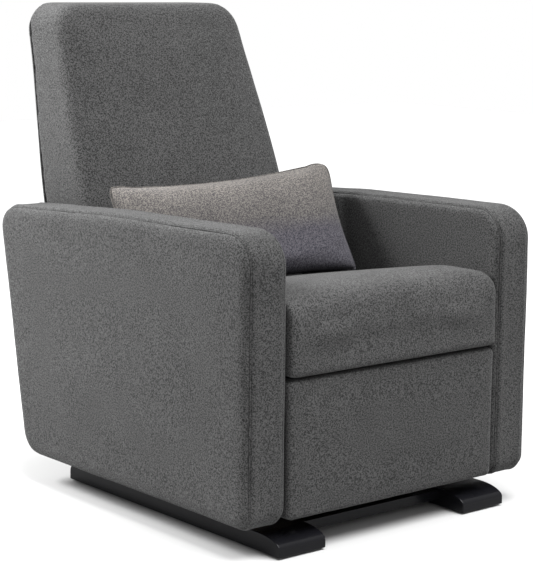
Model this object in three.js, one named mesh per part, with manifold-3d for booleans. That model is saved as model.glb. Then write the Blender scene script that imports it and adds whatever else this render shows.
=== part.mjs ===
// Upholstered glider recliner for a nursery: two floor runners, a swinging-link glide, a reclining back,
// a folding footrest and a loose lumbar pillow.
// Millimetres. +Z is up, the chair faces -Y, and +X is the right-hand side seen from the front.
// The origin is on the floor, under the centre of the chair's bounding box.
import * as THREE from "three";
import { mergeVertices } from "three/addons/utils/BufferGeometryUtils.js";
import Module from "manifold-3d";

const wasm = await Module();
wasm.setup();

// ---- Driving dimensions ----
const GAP = 0.35; // between pieces that touch

const ARM_INNER_X = 285;
const ARM_OUTER_X = 392;
const ARM_FRONT_Y = -487;
const ARM_BOTTOM_Z = 62;
const ARM_FRONT_TOP_Z = 642;
const ARM_REAR_TOP = [405, 625];
const ARM_REAR_BOTTOM_Y = 301;

const RAIL_INNER_X = 192;
const RAIL_OUTER_X = 312;
const RAIL_FRONT_Y = -496;
const RAIL_REAR_Y = 232;
const RAIL_TOP_Z = 41;
const RAIL_EDGE_Z = 19; // where the runner's rounded ends meet its upright faces
const PAD_THICKNESS = 3;
const FRONT_BAR_Y = [-424, -384];
const REAR_BAR_Y = [150, 190];
const CROSS_BAR_Z = [18, 38];

const GLIDE_FRONT_Y = -230;
const GLIDE_REAR_Y = 100;
const GLIDE_TOP_Z = 240;
const GLIDE_BOTTOM_Z = 95;
const SHAFT_RADIUS = 7;
const STUD_RADIUS = 6;
const HOLE_PLAY = 0.4; // radial play of a pivot in its hole

// The layers of the glide, from the base outwards: each is [inner, outer] distance from the middle.
const UPRIGHT_LAYER = [250, 255.7];
const LINK_LAYER = [256.9, 260.9];
const HANGER_LAYER = [261.7, 265.7];
const SEAT_RAIL_LAYER = [266.1, 284.6];

const SEAT_RAIL_FRONT_Y = -442;
const SEAT_RAIL_REAR_Y = 266;
const FRONT_CROSS_RAIL_Y = [-437, -397];
const REAR_CROSS_RAIL_Y = [138, 172];
const SEAT_RAIL_BOTTOM_Z = 290;
const SEAT_RAIL_TOP_Z = 350;
const CROSS_RAIL_BOTTOM_Z = 320;

const CUSHION_HALF_WIDTH = 284;
const CUSHION_FRONT_Y = -495;
const CUSHION_BOTTOM_Z = 358;
const CUSHION_CROWN = [-400, 520];
const CUSHION_REAR_TOP = [124, 427];

// The back is a slab between two leaning planes, both given by their y at one height and their slope.
const BACK_REFERENCE_Z = 660;
const BACK_FRONT_Y = 209;
const BACK_FRONT_SLOPE = 0.3865;
const BACK_REAR_Y = 400;
const BACK_REAR_SLOPE = 0.2486;
const BACK_BOTTOM_Z = 388;
const BACK_TOP_Z = 1054;
const BACK_HALF_WIDTH = 282;
const BACK_SHOULDER_Z = 634;
const BACK_TOP_HALF_WIDTH = 250;
const BACK_SKIRT_Z = 287;
const OUTSIDE_BACK_THICKNESS = 10;
const BACK_FRAME_THICKNESS = 24;
const RECLINE_PIVOT = [205, 345];
const REAR_PANEL_HALF_WIDTH = 283;

const FOOTREST_HALF_WIDTH = 282;
const FOOTREST_FRONT_Y = -489;
const FOOTREST_THICKNESS = 38;
const FOOTREST_BOARD_THICKNESS = 12;
const FOOTREST_BOTTOM_Z = 69;
const FOOTREST_TOP_Z = 344;

// The footrest's lazy tongs: crossing links of equal half-length, folded upright.
const TONG_PIVOT = [-384, 300];
const TONG_HALF_LENGTH = 112;
const TONG_FOLDED_ANGLE = THREE.MathUtils.degToRad(85);
const TONG_RISE = THREE.MathUtils.degToRad(5);
const TONG_HALF_WIDTH = 8.5;
const TONG_PIN_RADIUS = 4;
const BRACKET_LAYER = [200.6, 204.6];
const INNER_TONG_LAYER = [205, 209];
const OUTER_TONG_LAYER = [209.6, 213.6];
const MOUNT_PLATE_LAYER = [214.2, 218.2];

const PILLOW_SIZE = [498, 235, 100];
const PILLOW_CENTRE = [-1.5, 31, 566];
const PILLOW_YAW = THREE.MathUtils.degToRad(-17.2);
const PILLOW_LEAN = THREE.MathUtils.degToRad(24.5);
const PILLOW_ROLL = THREE.MathUtils.degToRad(2);

// ---- Materials ----
const material = (color, roughness, metalness = 0) =>
  new THREE.MeshStandardMaterial({ color, roughness, metalness });
const FABRIC = material(0x626262, 0.95);
const PILLOW_FABRIC = material(0x85817d, 0.95);
const BACKING_CLOTH = material(0x2b2b2c, 0.95);
const LACQUER = material(0x0b0b0c, 0.22);
const HARDWOOD = material(0xb08a5b, 0.7);
const PLYWOOD = material(0xc4a06e, 0.75);
const BLACK_STEEL = material(0x1c1d1f, 0.5, 0.6);
const ZINC_STEEL = material(0xa7abb0, 0.35, 0.9);
const SPRING_STEEL = material(0x6d7074, 0.4, 0.9);
const RUBBER = material(0x17171a, 0.9);

// ---- Outlines ----

// A closed outline through corners given as [u, v, radius], each rounded by an arc of its radius.
function roundedOutline(corners, arcSteps = 5) {
  const points = corners.flatMap(([u, v, radius], index) => {
    const here = new THREE.Vector2(u, v);
    if (!radius) return [here];
    const previous = corners[(index + corners.length - 1) % corners.length];
    const following = corners[(index + 1) % corners.length];
    const back = new THREE.Vector2(previous[0], previous[1]).sub(here).normalize();
    const ahead = new THREE.Vector2(following[0], following[1]).sub(here).normalize();
    const halfAngle = Math.acos(back.dot(ahead)) / 2;
    const bisector = back.clone().add(ahead).normalize();
    const centre = here.clone().addScaledVector(bisector, radius / Math.sin(halfAngle));
    const start = here.clone().addScaledVector(back, radius / Math.tan(halfAngle)).sub(centre).angle();
    const end = here.clone().addScaledVector(ahead, radius / Math.tan(halfAngle)).sub(centre).angle();
    const clockwise = back.cross(ahead) > 0;
    const arc = new THREE.EllipseCurve(centre.x, centre.y, radius, radius, start, end, clockwise);
    return arc.getPoints(arcSteps);
  });
  return new THREE.Shape(points);
}

// A strap with round ends centred on two points.
function strapOutline([u0, v0], [u1, v1], radius) {
  const angle = Math.atan2(v1 - v0, u1 - u0);
  const shape = new THREE.Shape();
  shape.absarc(u1, v1, radius, angle - Math.PI / 2, angle + Math.PI / 2, false);
  shape.absarc(u0, v0, radius, angle + Math.PI / 2, angle + (3 * Math.PI) / 2, false);
  shape.closePath();
  return shape;
}

const rectangle = (u0, u1, v0, v1, radius = 0) =>
  roundedOutline([[u0, v0, radius], [u1, v0, radius], [u1, v1, radius], [u0, v1, radius]]);

function roundHole(outline, [u, v], radius) {
  const hole = new THREE.Path();
  hole.absarc(u, v, radius, 0, 2 * Math.PI, true);
  outline.holes.push(hole);
  return outline;
}

// ---- Extrusions and simple solids ----
const AXIS_X = new THREE.Vector3(1, 0, 0);
const AXIS_Y = new THREE.Vector3(0, 1, 0);
const AXIS_Z = new THREE.Vector3(0, 0, 1);

function extrude(outline, length, round, steps) {
  const geometry = new THREE.ExtrudeGeometry(outline, {
    depth: length - 2 * round,
    curveSegments: steps,
    bevelEnabled: round > 0,
    bevelSize: round,
    bevelOffset: -round,
    bevelThickness: round,
    bevelSegments: 3,
  });
  return geometry.translate(0, 0, round);
}

// An outline drawn in (y, z), extruded along x.
function acrossX(outline, [from, to], { round = 0, steps = 6 } = {}) {
  const turn = new THREE.Matrix4().makeBasis(AXIS_Y, AXIS_Z, AXIS_X);
  return extrude(outline, to - from, round, steps).applyMatrix4(turn).translate(from, 0, 0);
}

// An outline drawn in (x, y), extruded along z.
function acrossZ(outline, [from, to], { round = 0, steps = 6 } = {}) {
  return extrude(outline, to - from, round, steps).translate(0, 0, from);
}

function block([x0, x1], [y0, y1], [z0, z1]) {
  const geometry = new THREE.BoxGeometry(x1 - x0, y1 - y0, z1 - z0);
  return geometry.translate((x0 + x1) / 2, (y0 + y1) / 2, (z0 + z1) / 2);
}

function pinAcrossX([y, z], radius, [from, to], sides = 16) {
  const geometry = new THREE.CylinderGeometry(radius, radius, to - from, sides);
  return geometry.rotateZ(-Math.PI / 2).translate((from + to) / 2, y, z);
}

// ---- Booleans ----
function solidOf(geometry) {
  const bare = geometry.clone();
  bare.deleteAttribute("normal");
  bare.deleteAttribute("uv");
  const merged = mergeVertices(bare, 1e-4);
  const vertProperties = new Float32Array(merged.attributes.position.array);
  const triVerts = new Uint32Array(merged.index.array);
  return new wasm.Manifold(new wasm.Mesh({ numProp: 3, vertProperties, triVerts }));
}

function geometryOf(solid) {
  const { vertProperties, triVerts } = solid.getMesh();
  const geometry = new THREE.BufferGeometry();
  geometry.setAttribute("position", new THREE.BufferAttribute(vertProperties, 3));
  geometry.setIndex(new THREE.BufferAttribute(triVerts, 1));
  geometry.computeVertexNormals();
  return geometry;
}

const join = (...pieces) => geometryOf(pieces.map(solidOf).reduce((sum, piece) => sum.add(piece)));
const cut = (body, ...tools) =>
  geometryOf(tools.map(solidOf).reduce((rest, tool) => rest.subtract(tool), solidOf(body)));
const common = (first, second) => geometryOf(solidOf(first).intersect(solidOf(second)));

// ---- Assembly helpers ----
const chair = new THREE.Group();

function add(name, geometry, look) {
  const mesh = new THREE.Mesh(geometry, look);
  mesh.name = name;
  chair.add(mesh);
  return mesh;
}

// A piece modelled on the right, and its mirror image on the left.
function addPair(name, geometry, look) {
  add(`${name}_right`, geometry, look);
  add(`${name}_left`, geometry, look).scale.x = -1;
}

// ---- Base: runners, floor pads, cross bars, uprights and the two glide shafts ----
function railOutline() {
  const shape = new THREE.Shape();
  const bottom = PAD_THICKNESS + GAP;
  const noseLength = 66;
  const heelLength = 18;
  shape.moveTo(RAIL_FRONT_Y + 1, bottom);
  shape.lineTo(RAIL_REAR_Y, bottom);
  const rise = RAIL_TOP_Z - RAIL_EDGE_Z;
  const heelY = RAIL_REAR_Y - heelLength;
  const noseY = RAIL_FRONT_Y + noseLength;
  shape.absellipse(heelY, RAIL_EDGE_Z, heelLength, rise, 0, Math.PI / 2, false, 0);
  shape.absellipse(noseY, RAIL_EDGE_Z, noseLength, rise, Math.PI / 2, Math.PI, false, 0);
  shape.closePath();
  return shape;
}

function addBase() {
  addPair("base_rail", acrossX(railOutline(), [RAIL_INNER_X, RAIL_OUTER_X], { steps: 8 }), LACQUER);
  const padInset = 25;
  const padLength = 80;
  const endMargin = 12;
  const padX = [RAIL_INNER_X + padInset, RAIL_OUTER_X - padInset];
  const padStarts = {
    front: RAIL_FRONT_Y + endMargin,
    rear: RAIL_REAR_Y - endMargin - padLength,
  };
  for (const [end, startY] of Object.entries(padStarts)) {
    const outline = rectangle(padX[0], padX[1], startY, startY + padLength, 10);
    addPair(`${end}_floor_pad`, acrossZ(outline, [0, PAD_THICKNESS], { steps: 3 }), RUBBER);
  }
  const barX = [GAP - RAIL_INNER_X, RAIL_INNER_X - GAP];
  add("front_cross_bar", block(barX, FRONT_BAR_Y, CROSS_BAR_Z), LACQUER);
  add("rear_cross_bar", block(barX, REAR_BAR_Y, CROSS_BAR_Z), LACQUER);
}

// A folded steel upright: a foot screwed to the runner and a web that narrows towards the shaft.
function uprightGeometry(pivotY) {
  const bottom = RAIL_TOP_Z + GAP;
  const footHalfLength = 45;
  const headRadius = 20;
  const web = roundedOutline([
    [pivotY - footHalfLength, bottom, 0],
    [pivotY + footHalfLength, bottom, 0],
    [pivotY + headRadius, GLIDE_TOP_Z + headRadius, 15],
    [pivotY - headRadius, GLIDE_TOP_Z + headRadius, 15],
  ]);
  roundHole(web, [pivotY, GLIDE_TOP_Z], SHAFT_RADIUS + GAP);
  const footX = [RAIL_INNER_X + 20, UPRIGHT_LAYER[1]];
  const footY = [pivotY - footHalfLength, pivotY + footHalfLength];
  return join(acrossX(web, UPRIGHT_LAYER), block(footX, footY, [bottom, bottom + 5]));
}

function linkGeometry(pivotY) {
  const link = strapOutline([pivotY, GLIDE_TOP_Z], [pivotY, GLIDE_BOTTOM_Z], 15);
  roundHole(link, [pivotY, GLIDE_TOP_Z], SHAFT_RADIUS + HOLE_PLAY);
  roundHole(link, [pivotY, GLIDE_BOTTOM_Z], STUD_RADIUS + HOLE_PLAY);
  return acrossX(link, LINK_LAYER);
}

// A hanger drops from the seat rail and ends in the stud that the link's lower eye turns on.
function hangerGeometry(pivotY) {
  const eyeRadius = 16;
  const headHalfLength = 36;
  const plate = roundedOutline([
    [pivotY - eyeRadius, GLIDE_BOTTOM_Z - eyeRadius, 12],
    [pivotY + eyeRadius, GLIDE_BOTTOM_Z - eyeRadius, 12],
    [pivotY + headHalfLength, SEAT_RAIL_TOP_Z - 8, 6],
    [pivotY - headHalfLength, SEAT_RAIL_TOP_Z - 8, 6],
  ]);
  const studEnd = UPRIGHT_LAYER[1] + 0.8;
  const stud = pinAcrossX([pivotY, GLIDE_BOTTOM_Z], STUD_RADIUS, [studEnd, HANGER_LAYER[0] + 1]);
  return join(acrossX(plate, HANGER_LAYER), stud);
}

function addGlide() {
  const shaftEnd = LINK_LAYER[1] + 0.4;
  for (const [end, pivotY] of [["front", GLIDE_FRONT_Y], ["rear", GLIDE_REAR_Y]]) {
    addPair(`${end}_upright`, uprightGeometry(pivotY), BLACK_STEEL);
    addPair(`${end}_glide_link`, linkGeometry(pivotY), ZINC_STEEL);
    addPair(`${end}_hanger`, hangerGeometry(pivotY), BLACK_STEEL);
    const shaft = pinAcrossX([pivotY, GLIDE_TOP_Z], SHAFT_RADIUS, [-shaftEnd, shaftEnd], 20);
    add(`${end}_glide_shaft`, shaft, ZINC_STEEL);
  }
}

// ---- Seat frame: two side rails, two cross rails and four sinuous springs ----
class SinuousCurve extends THREE.Curve {
  constructor(x, [startY, endY], z, { waves, amplitude }) {
    super();
    Object.assign(this, { x, startY, endY, z, waves, amplitude });
  }

  getPoint(t, target = new THREE.Vector3()) {
    const x = this.x + this.amplitude * Math.sin(2 * Math.PI * this.waves * t);
    return target.set(x, THREE.MathUtils.lerp(this.startY, this.endY, t), this.z);
  }
}

function springGeometry(x, spanY) {
  const wireRadius = 2;
  const waves = 8;
  const amplitude = 24;
  const wire = new THREE.Shape().absarc(0, 0, wireRadius, 0, 2 * Math.PI, false);
  const path = new SinuousCurve(x, spanY, SEAT_RAIL_TOP_Z + GAP + wireRadius, { waves, amplitude });
  return new THREE.ExtrudeGeometry(wire, { extrudePath: path, steps: 6 * waves, curveSegments: 3 });
}

function addSeatFrame() {
  const railZ = [SEAT_RAIL_BOTTOM_Z, SEAT_RAIL_TOP_Z];
  addPair("seat_side_rail", block(SEAT_RAIL_LAYER, [SEAT_RAIL_FRONT_Y, SEAT_RAIL_REAR_Y], railZ), HARDWOOD);
  const crossX = [GAP - SEAT_RAIL_LAYER[0], SEAT_RAIL_LAYER[0] - GAP];
  const crossZ = [CROSS_RAIL_BOTTOM_Z, SEAT_RAIL_TOP_Z];
  add("seat_front_rail", block(crossX, FRONT_CROSS_RAIL_Y, crossZ), HARDWOOD);
  add("seat_rear_rail", block(crossX, REAR_CROSS_RAIL_Y, crossZ), HARDWOOD);
  const springSpan = [FRONT_CROSS_RAIL_Y[0] + 10, REAR_CROSS_RAIL_Y[1] - 10];
  [-180, -60, 60, 180].forEach((x, index) => {
    add(`seat_spring_${index + 1}`, springGeometry(x, springSpan), SPRING_STEEL);
  });
}

// ---- Upholstered arms over their timber frames ----
function armCorners() {
  return [
    [ARM_FRONT_Y, ARM_BOTTOM_Z, 28],
    [ARM_REAR_BOTTOM_Y, ARM_BOTTOM_Z, 55],
    [ARM_REAR_TOP[0], ARM_REAR_TOP[1], 70],
    [ARM_FRONT_Y, ARM_FRONT_TOP_Z, 82],
  ];
}

function addArms() {
  const frameX = [325, 352];
  const inset = 46;
  const low = ARM_BOTTOM_Z + 5;
  const frameCorners = (grow, bottom) => [
    [ARM_FRONT_Y + inset - grow, bottom, 0],
    [ARM_REAR_BOTTOM_Y - inset + grow, bottom, 0],
    [ARM_REAR_TOP[0] - inset + grow, ARM_REAR_TOP[1] - inset + grow, 30],
    [ARM_FRONT_Y + inset - grow, ARM_FRONT_TOP_Z - inset + grow, 50],
  ];
  const frame = roundedOutline(frameCorners(0, low));
  const boardWidth = 60;
  const windowFront = ARM_FRONT_Y + inset + boardWidth;
  const windowTop = ARM_REAR_TOP[1] - inset - boardWidth;
  const windows = [[windowFront, -110], [-50, 180]];
  for (const [from, to] of windows) {
    frame.holes.push(rectangle(from, to, low + boardWidth, windowTop, 12));
  }
  addPair("arm_frame", acrossX(frame, frameX, { steps: 4 }), HARDWOOD);
  const body = acrossX(roundedOutline(armCorners()), [ARM_INNER_X, ARM_OUTER_X], { round: 26, steps: 7 });
  const pocket = roundedOutline(frameCorners(GAP, ARM_BOTTOM_Z - 10));
  const hollow = acrossX(pocket, [frameX[0] - GAP, frameX[1] + GAP], { steps: 4 });
  addPair("arm", cut(body, hollow), FABRIC);
}

// ---- Seat cushion ----
function addSeatCushion() {
  const slope = (CUSHION_CROWN[1] - CUSHION_REAR_TOP[1]) / (CUSHION_CROWN[0] - CUSHION_REAR_TOP[0]);
  const frontTopZ = CUSHION_CROWN[1] + slope * (CUSHION_FRONT_Y - CUSHION_CROWN[0]) - 22;
  const profile = roundedOutline([
    [CUSHION_FRONT_Y, CUSHION_BOTTOM_Z, 14],
    [backFrontY(CUSHION_BOTTOM_Z) - 6, CUSHION_BOTTOM_Z, 8],
    [CUSHION_REAR_TOP[0], CUSHION_REAR_TOP[1], 20],
    [CUSHION_CROWN[0], CUSHION_CROWN[1], 200],
    [CUSHION_FRONT_Y, frontTopZ, 52],
  ]);
  const span = [-CUSHION_HALF_WIDTH, CUSHION_HALF_WIDTH];
  add("seat_cushion", acrossX(profile, span, { round: 6, steps: 7 }), FABRIC);
}

// ---- Backrest ----
const backFrontY = (z) => BACK_FRONT_Y + BACK_FRONT_SLOPE * (z - BACK_REFERENCE_Z);
const backRearY = (z) => BACK_REAR_Y + BACK_REAR_SLOPE * (z - BACK_REFERENCE_Z);
const backHalfWidth = (z) => {
  const along = (z - BACK_SHOULDER_Z) / (BACK_TOP_Z - BACK_SHOULDER_Z);
  return THREE.MathUtils.lerp(BACK_HALF_WIDTH, BACK_TOP_HALF_WIDTH, Math.max(0, along));
};

// An outline drawn in (x, distance up the rear plane from the slab's bottom edge), extruded forwards
// from the rear plane between two depths.
function fromRearPlane(outline, [near, far], steps = 5) {
  const lean = Math.atan(BACK_REAR_SLOPE);
  const up = new THREE.Vector3(0, Math.sin(lean), Math.cos(lean));
  const forward = new THREE.Vector3(0, -Math.cos(lean), Math.sin(lean));
  const place = new THREE.Matrix4().makeBasis(AXIS_X, up, forward);
  place.setPosition(0, backRearY(BACK_BOTTOM_Z), BACK_BOTTOM_Z);
  return extrude(outline, far - near, 0, steps).translate(0, 0, near).applyMatrix4(place);
}

const rearPlaneHeight = (z) => (z - BACK_BOTTOM_Z) * Math.hypot(1, BACK_REAR_SLOPE);

// The back's outline seen square to its rear plane, between two heights and set in by an inset.
function backOutline(bottomZ, topZ, inset, topRadius) {
  const bottom = rearPlaneHeight(bottomZ);
  const top = rearPlaneHeight(topZ);
  const shoulder = rearPlaneHeight(BACK_SHOULDER_Z);
  const low = backHalfWidth(bottomZ) - inset;
  const high = backHalfWidth(topZ) - inset;
  return roundedOutline([
    [-low, bottom, 0],
    [low, bottom, 0],
    [low, shoulder, 300],
    [high, top, topRadius],
    [-high, top, topRadius],
    [-low, shoulder, 300],
  ]);
}

// The side plate that joins the back's frame to the recline pivot.
function backBracketOutline(grow) {
  return roundedOutline([
    [RECLINE_PIVOT[0] - 13 - grow, RECLINE_PIVOT[1] - 13 - grow, 10],
    [RECLINE_PIVOT[0] + 13 + grow, RECLINE_PIVOT[1] - 13 - grow, 10],
    [backRearY(405) - 14 + grow, 405 - grow, 14],
    [backRearY(500) - 14 + grow, 500 + grow, 6],
    [backRearY(500) - 40 - grow, 500 + grow, 6],
    [backRearY(420) - 56 - grow, 420 + grow, 30],
    [RECLINE_PIVOT[0] - 13 - grow, RECLINE_PIVOT[1] + 20 + grow, 10],
  ]);
}

function backFrameOutline(grow) {
  const bottom = rearPlaneHeight(BACK_BOTTOM_Z + 4) - grow;
  const knee = rearPlaneHeight(520);
  const top = rearPlaneHeight(BACK_TOP_Z - 45) + grow;
  const low = LINK_LAYER[0] - 0.8 + grow;
  const high = backHalfWidth(BACK_TOP_Z - 45) - 26 + grow;
  return roundedOutline([
    [-low, bottom, 0],
    [low, bottom, 0],
    [low - 1, knee, 0],
    [high, top, 30],
    [-high, top, 30],
    [1 - low, knee, 0],
  ]);
}

function addBackrest() {
  const side = roundedOutline([
    [backFrontY(BACK_BOTTOM_Z), BACK_BOTTOM_Z, 20],
    [backRearY(BACK_BOTTOM_Z) + 30, BACK_BOTTOM_Z, 0],
    [backRearY(BACK_TOP_Z) + 30, BACK_TOP_Z, 0],
    [backFrontY(BACK_TOP_Z), BACK_TOP_Z, 40],
  ]);
  const wide = acrossX(side, [-320, 320]);
  const rearFace = OUTSIDE_BACK_THICKNESS + GAP;
  const deep = fromRearPlane(backOutline(BACK_BOTTOM_Z - 60, BACK_TOP_Z + 3, 0, 62), [rearFace, 400], 6);
  const frameDepth = [rearFace + GAP, rearFace + GAP + BACK_FRAME_THICKNESS];
  const pocket = fromRearPlane(backFrameOutline(GAP), [0, frameDepth[1] + GAP]);
  const slotX = [LINK_LAYER[0] - 1.2, LINK_LAYER[1] + GAP];
  const slotRight = acrossX(backBracketOutline(1), slotX);
  const slotLeft = acrossX(backBracketOutline(1), [-slotX[1], -slotX[0]]);
  add("back_cushion", cut(common(wide, deep), pocket, slotRight, slotLeft), FABRIC);
  const frame = backFrameOutline(0);
  const railHeights = [[BACK_BOTTOM_Z + 64, 600], [660, 800], [860, 950]];
  for (const [from, to] of railHeights) {
    const halfWidth = backHalfWidth(to) - 26 - 45;
    frame.holes.push(rectangle(-halfWidth, halfWidth, rearPlaneHeight(from), rearPlaneHeight(to), 10));
  }
  add("back_frame", fromRearPlane(frame, frameDepth, 4), HARDWOOD);
  const cover = backOutline(BACK_SKIRT_Z, BACK_TOP_Z - 8, 2, 60);
  add("outside_back", fromRearPlane(cover, [0, OUTSIDE_BACK_THICKNESS]), FABRIC);
  const bracket = roundHole(backBracketOutline(0), RECLINE_PIVOT, STUD_RADIUS + HOLE_PLAY);
  addPair("back_bracket", acrossX(bracket, LINK_LAYER), BLACK_STEEL);
}

// The seat's half of the recline hinge: a plate on the side rail with the pivot stud.
function addReclineHinge() {
  const [pivotY, pivotZ] = RECLINE_PIVOT;
  const plate = roundedOutline([
    [pivotY - 30, SEAT_RAIL_BOTTOM_Z + 8, 6],
    [pivotY + 60, SEAT_RAIL_BOTTOM_Z + 8, 6],
    [pivotY + 40, pivotZ + 14, 12],
    [pivotY - 22, pivotZ + 14, 12],
  ]);
  const stud = pinAcrossX(RECLINE_PIVOT, STUD_RADIUS, [LINK_LAYER[0] - 0.5, HANGER_LAYER[0] + 1]);
  addPair("recline_hinge_plate", join(acrossX(plate, HANGER_LAYER), stud), BLACK_STEEL);
}

// The fixed panel that closes the seat's rear, below the back.
function addRearPanel() {
  const panel = roundedOutline([[285, 96, 2], [297, 96, 2], [334, 292, 2], [322, 292, 2]]);
  const span = [-REAR_PANEL_HALF_WIDTH, REAR_PANEL_HALF_WIDTH];
  add("rear_lower_panel", acrossX(panel, span, { steps: 2 }), FABRIC);
}

// ---- Footrest ----

// A joint of the lazy tongs, counted in half-cells along the tongs and half-lengths down across them.
function tongPoint(along, down) {
  const step = TONG_HALF_LENGTH * Math.cos(TONG_FOLDED_ANGLE);
  const drop = TONG_HALF_LENGTH * Math.sin(TONG_FOLDED_ANGLE);
  const y = -along * step * Math.cos(TONG_RISE) - down * drop * Math.sin(TONG_RISE);
  const z = along * step * Math.sin(TONG_RISE) - down * drop * Math.cos(TONG_RISE);
  return [TONG_PIVOT[0] + y, TONG_PIVOT[1] + z];
}

// A flat link in one layer, with pins that stand out to `reach` and holes for its neighbours' pins.
function tongLink(layer, ends, pins, holes) {
  const outline = strapOutline(ends[0], ends[1], TONG_HALF_WIDTH);
  for (const at of holes) roundHole(outline, at, TONG_PIN_RADIUS + HOLE_PLAY);
  const middle = (layer[0] + layer[1]) / 2;
  const studs = pins.map(({ at, reach }) => {
    const span = reach > middle ? [middle, reach] : [reach, middle];
    return pinAcrossX(at, TONG_PIN_RADIUS, span, 12);
  });
  return join(acrossX(outline, layer), ...studs);
}

function addFootrestLinks() {
  const top = tongPoint(0, 0);
  const slider = tongPoint(0, 2);
  const firstCross = tongPoint(1, 1);
  const lowerKnee = tongPoint(2, 2);
  const upperKnee = tongPoint(2, 0);
  const secondCross = tongPoint(3, 1);
  const carrier = tongPoint(4, 2);
  const plateFace = MOUNT_PLATE_LAYER[1] + 0.3;
  const outerFace = OUTER_TONG_LAYER[1] + 0.3;
  const firstPins = [
    { at: top, reach: plateFace },
    { at: firstCross, reach: outerFace },
    { at: lowerKnee, reach: outerFace },
  ];
  addPair("footrest_drive_link", tongLink(INNER_TONG_LAYER, [top, lowerKnee], firstPins, []), ZINC_STEEL);
  const sliderPin = [{ at: slider, reach: plateFace }];
  const slideHoles = [firstCross, upperKnee];
  const slideLink = tongLink(OUTER_TONG_LAYER, [slider, upperKnee], sliderPin, slideHoles);
  addPair("footrest_slide_link", slideLink, ZINC_STEEL);
  const shortHoles = [lowerKnee, secondCross];
  const shortLink = tongLink(OUTER_TONG_LAYER, [lowerKnee, secondCross], [], shortHoles);
  addPair("footrest_short_link", shortLink, ZINC_STEEL);
  const carrierPins = [
    { at: upperKnee, reach: outerFace },
    { at: secondCross, reach: outerFace },
    { at: carrier, reach: BRACKET_LAYER[0] - 0.3 },
  ];
  const carrierLink = tongLink(INNER_TONG_LAYER, [upperKnee, carrier], carrierPins, []);
  addPair("footrest_carrier_link", carrierLink, ZINC_STEEL);
  const tubeAt = top.map((value, index) => THREE.MathUtils.lerp(value, lowerKnee[index], 0.3));
  const tubeEnd = INNER_TONG_LAYER[0] - GAP;
  add("footrest_cross_tube", pinAcrossX(tubeAt, 9, [-tubeEnd, tubeEnd], 16), BLACK_STEEL);
}

// The plate that carries the tongs: the fixed pivot's hole and the slot that the slider pin runs in.
function addFootrestMounts() {
  const top = tongPoint(0, 0);
  const lowest = tongPoint(0, 2);
  const slotTop = THREE.MathUtils.lerp(top[1], lowest[1], 0.07);
  const slotY = (z) => THREE.MathUtils.mapLinear(z, top[1], lowest[1], top[0], lowest[0]);
  const plateTop = CROSS_RAIL_BOTTOM_Z - GAP;
  const plate = roundedOutline([
    [lowest[0] - 13, lowest[1] - 12, 8],
    [lowest[0] + 13, lowest[1] - 12, 8],
    [top[0] + 16, plateTop, 0],
    [top[0] - 16, plateTop, 0],
  ]);
  roundHole(plate, top, TONG_PIN_RADIUS + HOLE_PLAY);
  plate.holes.push(strapOutline([slotY(slotTop), slotTop], lowest, TONG_PIN_RADIUS + HOLE_PLAY));
  const flange = block([MOUNT_PLATE_LAYER[0], 246], [top[0] - 38, top[0] + 16], [plateTop - 4, plateTop]);
  addPair("footrest_mount_plate", join(acrossX(plate, MOUNT_PLATE_LAYER), flange), BLACK_STEEL);
}

function addFootrestPanel() {
  const rearY = FOOTREST_FRONT_Y + FOOTREST_THICKNESS;
  const boardFront = rearY - FOOTREST_BOARD_THICKNESS;
  const inset = 9;
  const profile = roundedOutline([
    [FOOTREST_FRONT_Y, FOOTREST_BOTTOM_Z, 14],
    [rearY, FOOTREST_BOTTOM_Z, 0],
    [rearY, FOOTREST_TOP_Z - 20, 0],
    [rearY - 20, FOOTREST_TOP_Z, 0],
    [FOOTREST_FRONT_Y, FOOTREST_TOP_Z, 14],
  ]);
  const pad = acrossX(profile, [-FOOTREST_HALF_WIDTH, FOOTREST_HALF_WIDTH], { steps: 4 });
  const boardX = FOOTREST_HALF_WIDTH - inset;
  const boardZ = [FOOTREST_BOTTOM_Z + inset, FOOTREST_TOP_Z - 20 - inset];
  const grown = (range) => [range[0] - GAP, range[1] + GAP];
  const recess = block(grown([-boardX, boardX]), [boardFront - GAP, rearY + 5], grown(boardZ));
  add("footrest_pad", cut(pad, recess), FABRIC);
  add("footrest_board", block([-boardX, boardX], [boardFront, rearY], boardZ), PLYWOOD);
}

// The angle that bolts the footrest board to the end of each carrier link.
function addFootrestBrackets() {
  const carrier = tongPoint(4, 2);
  const boardFace = FOOTREST_FRONT_Y + FOOTREST_THICKNESS + GAP;
  const low = carrier[1] - 8;
  const high = carrier[1] + 110;
  const web = roundedOutline([
    [boardFace, low, 0],
    [carrier[0] + 10, low, 4],
    [carrier[0] + 30, high, 4],
    [boardFace, high, 0],
  ]);
  roundHole(web, carrier, TONG_PIN_RADIUS + HOLE_PLAY);
  const flange = block([176, BRACKET_LAYER[1]], [boardFace, boardFace + 4], [low, high]);
  addPair("footrest_bracket", join(acrossX(web, BRACKET_LAYER), flange), BLACK_STEEL);
}

// ---- Lumbar pillow: a knife-edge pad, thickest in the middle ----
function addPillow() {
  const [width, height, thickness] = PILLOW_SIZE;
  const rim = 12;
  const geometry = new THREE.BoxGeometry(width, height, rim, 12, 8, 1);
  const position = geometry.attributes.position;
  for (let i = 0; i < position.count; i += 1) {
    const u = (2 * position.getX(i)) / width;
    const v = (2 * position.getY(i)) / height;
    const crown = Math.sqrt(Math.max(0, (1 - u ** 4) * (1 - v ** 2)));
    const puffed = rim / 2 + ((thickness - rim) / 2) * crown;
    position.setZ(i, Math.sign(position.getZ(i)) * puffed);
  }
  geometry.rotateZ(PILLOW_ROLL);
  const pillow = add("lumbar_pillow", geometry, PILLOW_FABRIC);
  pillow.rotation.set(Math.PI / 2 - PILLOW_LEAN, 0, PILLOW_YAW, "ZXY");
  pillow.position.set(...PILLOW_CENTRE);
}

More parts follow.
